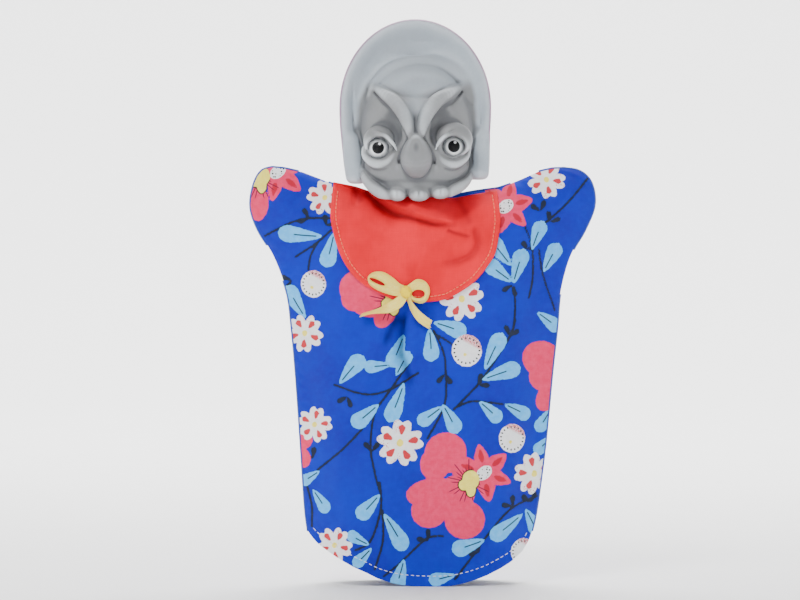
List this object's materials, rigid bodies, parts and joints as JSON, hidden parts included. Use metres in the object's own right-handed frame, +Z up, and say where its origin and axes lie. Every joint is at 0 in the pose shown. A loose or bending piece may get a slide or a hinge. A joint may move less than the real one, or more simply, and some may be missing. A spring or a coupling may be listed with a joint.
{
  "type": "hand puppet",
  "caption": "Glove hand puppet of an owl: hollow soft-plastic hooded head tied at the neck of a flower-print cotton glove with mitt arms, a stitched bib and a ribbon bow.",
  "frame": {"origin": "centre of the hand opening at the level of the hem's lowest point, on the neck's axis", "axes": "+Z up along the neck's axis to the head, -Y the way the face looks, +X to the viewer's right"},
  "size_m": [0.1741, 0.0729, 0.2815],
  "materials": {
    "vinyl": "satin moulded soft vinyl",
    "eye_white": "gloss",
    "eye_black": "gloss",
    "cord": "twisted",
    "white_thread": "matte",
    "red_thread": "matte",
    "red_cotton": "plain weave",
    "ribbon": "soft sheen",
    "print_cotton": "printed plain weave"
  },
  "bodies": {
    "torso": {"front_panel": "print_cotton", "back_panel": "print_cotton", "front_hem": "print_cotton", "back_hem": "print_cotton", "front_hem_stitching": "white_thread", "back_hem_stitching": "white_thread", "left_side_seam": "print_cotton", "right_side_seam": "print_cotton", "left_shoulder_seam": "print_cotton", "right_shoulder_seam": "print_cotton", "bib": "red_cotton", "bib_stitching": "red_thread", "bow_knot": "ribbon", "bow_left_loop": "ribbon", "bow_right_loop": "ribbon", "bow_left_tail": "ribbon", "bow_right_tail": "ribbon"},
    "neck": {"neck_casing": "print_cotton"},
    "tie": {"neck_cord": "cord"},
    "head": {"head_moulding": "vinyl", "left_eye": "eye_white", "right_eye": "eye_white", "left_pupil": "eye_black", "right_pupil": "eye_black"},
    "left_sleeve": {"left_sleeve_front": "print_cotton", "left_sleeve_back": "print_cotton"},
    "left_mitt": {"left_mitt_front": "print_cotton", "left_mitt_back": "print_cotton", "left_mitt_seam": "print_cotton"},
    "right_sleeve": {"right_sleeve_front": "print_cotton", "right_sleeve_back": "print_cotton"},
    "right_mitt": {"right_mitt_front": "print_cotton", "right_mitt_back": "print_cotton", "right_mitt_seam": "print_cotton"}
  },
  "joints": [
    {"name": "neck_nod", "type": "hinge", "parent": "torso", "child": "neck", "pos_m": [0, 0, 0.189], "axis": [1, 0, 0], "range_deg": [-6, 7]},
    {"name": "neck_tilt", "type": "hinge", "parent": "neck", "child": "tie", "pos_m": [0, 0, 0.189], "axis": [0, 1, 0], "range_deg": [-4, 4]},
    {"name": "head_turn", "type": "hinge", "parent": "tie", "child": "head", "pos_m": [0, 0, 0.189], "axis": [0, 0, 1], "range_deg": [-28, 28]},
    {"name": "left_arm_raise", "type": "hinge", "parent": "torso", "child": "left_sleeve", "pos_m": [-0.06, 0, 0.184], "axis": [0, 1, 0], "range_deg": [-18, 18]},
    {"name": "left_arm_clap", "type": "hinge", "parent": "left_sleeve", "child": "left_mitt", "pos_m": [-0.068, 0, 0.187], "axis": [0.2419, 0, 0.9703], "range_deg": [0, 50]},
    {"name": "right_arm_raise", "type": "hinge", "parent": "torso", "child": "right_sleeve", "pos_m": [0.065, 0, 0.1845], "axis": [0, -1, 0], "range_deg": [-18, 18]},
    {"name": "right_arm_clap", "type": "hinge", "parent": "right_sleeve", "child": "right_mitt", "pos_m": [0.074, 0, 0.1875], "axis": [0.2419, 0, -0.9703], "range_deg": [0, 50]}
  ]
}
